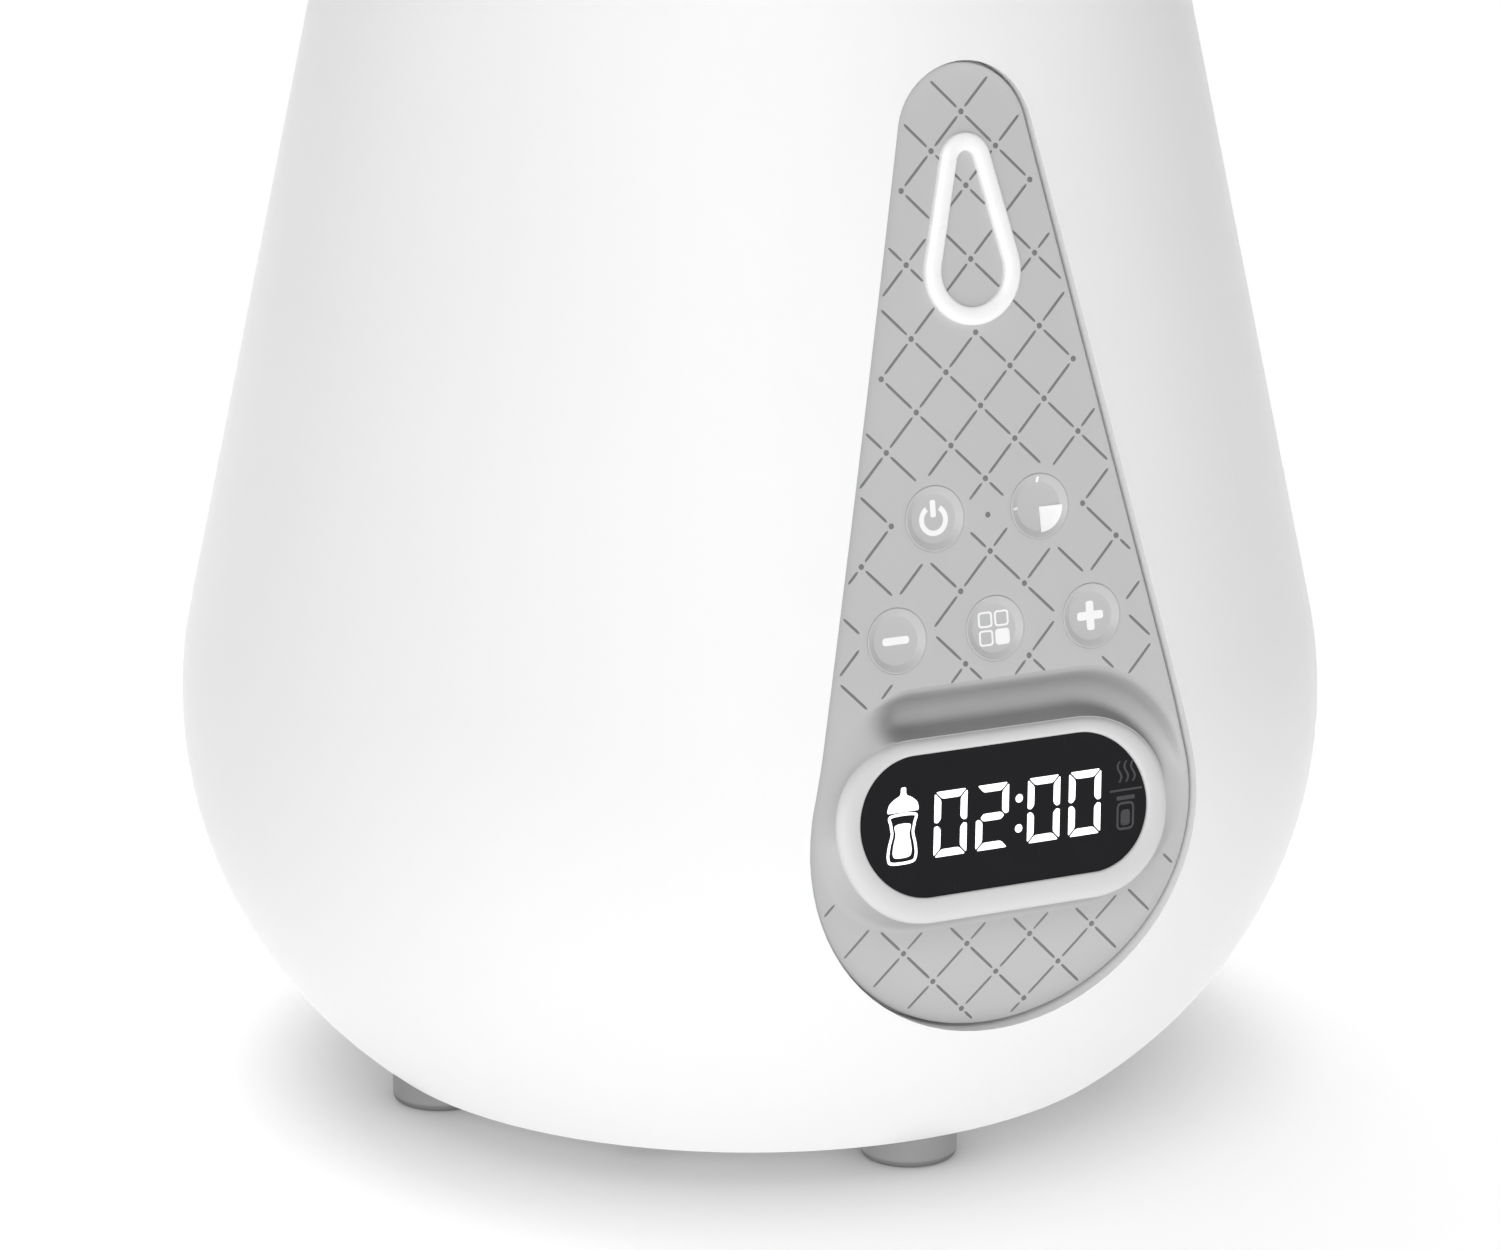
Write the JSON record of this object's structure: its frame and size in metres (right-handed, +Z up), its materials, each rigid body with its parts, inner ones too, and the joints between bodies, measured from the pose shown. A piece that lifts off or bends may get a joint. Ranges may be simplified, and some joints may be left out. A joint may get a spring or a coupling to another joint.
{
  "type": "bottle warmer sterilizer",
  "caption": "Pear-shaped bottle warmer and steriliser with a teardrop control panel, tilted oval display, dished buttons, lift-out bottle basket, domed clear lid and rubber feet.",
  "frame": {"origin": "on the floor under the feet, on the body's axis", "axes": "+Z up along the body's axis, -Y out of the control panel"},
  "size_m": [0.15, 0.1479, 0.2584],
  "materials": {
    "shell_white": "satin gloss, white",
    "panel_grey": "soft matte, light grey",
    "button_grey": "soft matte, light grey",
    "rim_grey": "satin, pale grey",
    "ring_white": "gloss, white",
    "display_black": "gloss, black",
    "foot_rubber": "matte, mid grey",
    "silicone": "matte, off-white",
    "steel": "brushed",
    "screw_steel": "bright zinc",
    "aluminium": "cast",
    "board_green": "solder resist",
    "part_black": "moulded, black",
    "part_white": "moulded, white",
    "pin_brass": "bright",
    "lid_clear": "clear, polished",
    "basket_white": "satin, white"
  },
  "bodies": {
    "base": {"outer_shell": "shell_white", "base_plate": "shell_white", "foot_front": "foot_rubber", "foot_right": "foot_rubber", "foot_back": "foot_rubber", "foot_left": "foot_rubber", "base_screws": "screw_steel", "front_panel": "panel_grey", "drop_ring": "ring_white", "display_bezel": "rim_grey", "display_lens": "display_black", "display_module": "board_green", "control_board": "board_green", "push_switches": "part_black", "control_screws": "screw_steel", "ribbon_cable": "part_white", "rim_ring": "shell_white", "water_chamber": "steel", "chamber_gasket": "silicone", "heating_plate": "steel", "plate_seal": "silicone", "heater_block": "aluminium", "heater_clamp": "steel", "clamp_screws": "screw_steel", "thermostat": "part_black", "temperature_probe": "steel", "thermal_fuse": "part_white", "power_board": "board_green", "power_screws": "screw_steel", "transformer": "part_black", "relay": "part_white", "filter_capacitor": "part_black", "terminal_block": "board_green", "mains_leads": "part_black", "heater_leads": "part_white", "power_inlet": "part_black", "inlet_pins": "pin_brass"},
    "power_button": {"power_button": "button_grey"},
    "start_button": {"start_button": "button_grey"},
    "minus_button": {"minus_button": "button_grey"},
    "mode_button": {"mode_button": "button_grey"},
    "plus_button": {"plus_button": "button_grey"},
    "basket": {"bottle_basket": "basket_white"},
    "lid": {"dome_lid": "lid_clear", "lid_seal": "silicone", "lid_knob": "button_grey", "knob_screw": "screw_steel"}
  },
  "joints": [
    {"name": "power_press", "type": "slide", "parent": "base", "child": "power_button", "axis": [0, 0.987, -0.1609], "range_m": [0, 0.0006], "stiffness_N_per_m": 2500},
    {"name": "start_press", "type": "slide", "parent": "base", "child": "start_button", "axis": [0, 0.987, -0.1609], "range_m": [0, 0.0006], "stiffness_N_per_m": 2500},
    {"name": "minus_press", "type": "slide", "parent": "base", "child": "minus_button", "axis": [0, 0.987, -0.1609], "range_m": [0, 0.0006], "stiffness_N_per_m": 2500},
    {"name": "mode_press", "type": "slide", "parent": "base", "child": "mode_button", "axis": [0, 0.987, -0.1609], "range_m": [0, 0.0006], "stiffness_N_per_m": 2500},
    {"name": "plus_press", "type": "slide", "parent": "base", "child": "plus_button", "axis": [0, 0.987, -0.1609], "range_m": [0, 0.0006], "stiffness_N_per_m": 2500},
    {"name": "basket_lift", "type": "slide", "parent": "base", "child": "basket", "axis": [0, 0, 1], "range_m": [0, 0.14]},
    {"name": "lid_lift", "type": "slide", "parent": "basket", "child": "lid", "axis": [0, 0, 1], "range_m": [0, 0.12]}
  ]
}
